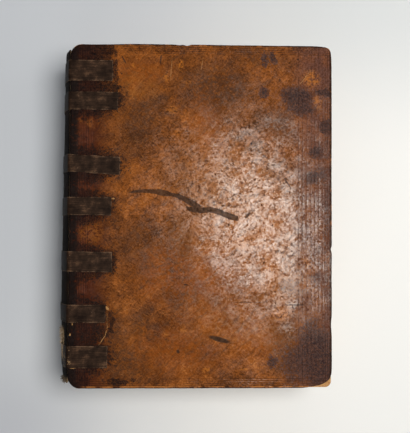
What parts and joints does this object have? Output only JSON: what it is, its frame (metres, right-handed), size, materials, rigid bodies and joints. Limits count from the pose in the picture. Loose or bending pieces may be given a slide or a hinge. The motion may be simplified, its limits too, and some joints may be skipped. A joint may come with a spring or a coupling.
{
  "type": "calf-bound dictionary",
  "caption": "Old quarto dictionary in worn brown calf, lying closed, with leather repair straps round its rounded spine and hinged covers.",
  "frame": {"origin": "under the middle of the closed book, on the surface that it lies on", "axes": "+X from the spine to the fore-edge, +Y from the tail to the head, +Z from the back cover to the front"},
  "size_m": [0.2336, 0.29, 0.0716],
  "materials": {
    "cover_calf": "polished calf, mottled, rubbed and stained",
    "spine_calf": "dark rubbed calf",
    "strap_leather": "thin dark brown leather, satin",
    "pasteboard": "bare grey-tan pasteboard",
    "pastedown_paper": "browned laid paper",
    "leaves": "browned, trimmed leaf edges",
    "sewing_cord": "twisted hemp",
    "endband_thread": "wound thread"
  },
  "bodies": {
    "book_block": {"text_block": "leaves", "spine_leather": "spine_calf", "head_band": "endband_thread", "tail_band": "endband_thread", "sewing_cord_1": "sewing_cord", "sewing_cord_2": "sewing_cord", "sewing_cord_3": "sewing_cord", "sewing_cord_4": "sewing_cord", "sewing_cord_5": "sewing_cord", "strap_1_spine": "strap_leather", "strap_2_spine": "strap_leather", "strap_3_spine": "strap_leather", "strap_4_spine": "strap_leather", "strap_5_spine": "strap_leather", "strap_6_spine": "strap_leather", "strap_7_spine": "strap_leather"},
    "front_cover": {"front_leather": "cover_calf", "front_board": "pasteboard", "front_pastedown": "pastedown_paper", "strap_1_front": "strap_leather", "strap_2_front": "strap_leather", "strap_3_front": "strap_leather", "strap_4_front": "strap_leather", "strap_5_front": "strap_leather", "strap_6_front": "strap_leather", "strap_7_front": "strap_leather"},
    "back_cover": {"back_leather": "cover_calf", "back_board": "pasteboard", "back_pastedown": "pastedown_paper", "strap_1_back": "strap_leather", "strap_2_back": "strap_leather", "strap_3_back": "strap_leather", "strap_4_back": "strap_leather", "strap_5_back": "strap_leather", "strap_6_back": "strap_leather", "strap_7_back": "strap_leather"}
  },
  "joints": [
    {"name": "front_joint", "type": "hinge", "parent": "book_block", "child": "front_cover", "pos_m": [-0.1052, 0, 0.0716], "axis": [0, -1, 0], "range_deg": [0, 170]},
    {"name": "back_joint", "type": "hinge", "parent": "book_block", "child": "back_cover", "pos_m": [-0.1052, 0, 0], "axis": [0, 1, 0], "range_deg": [0, 170]}
  ]
}
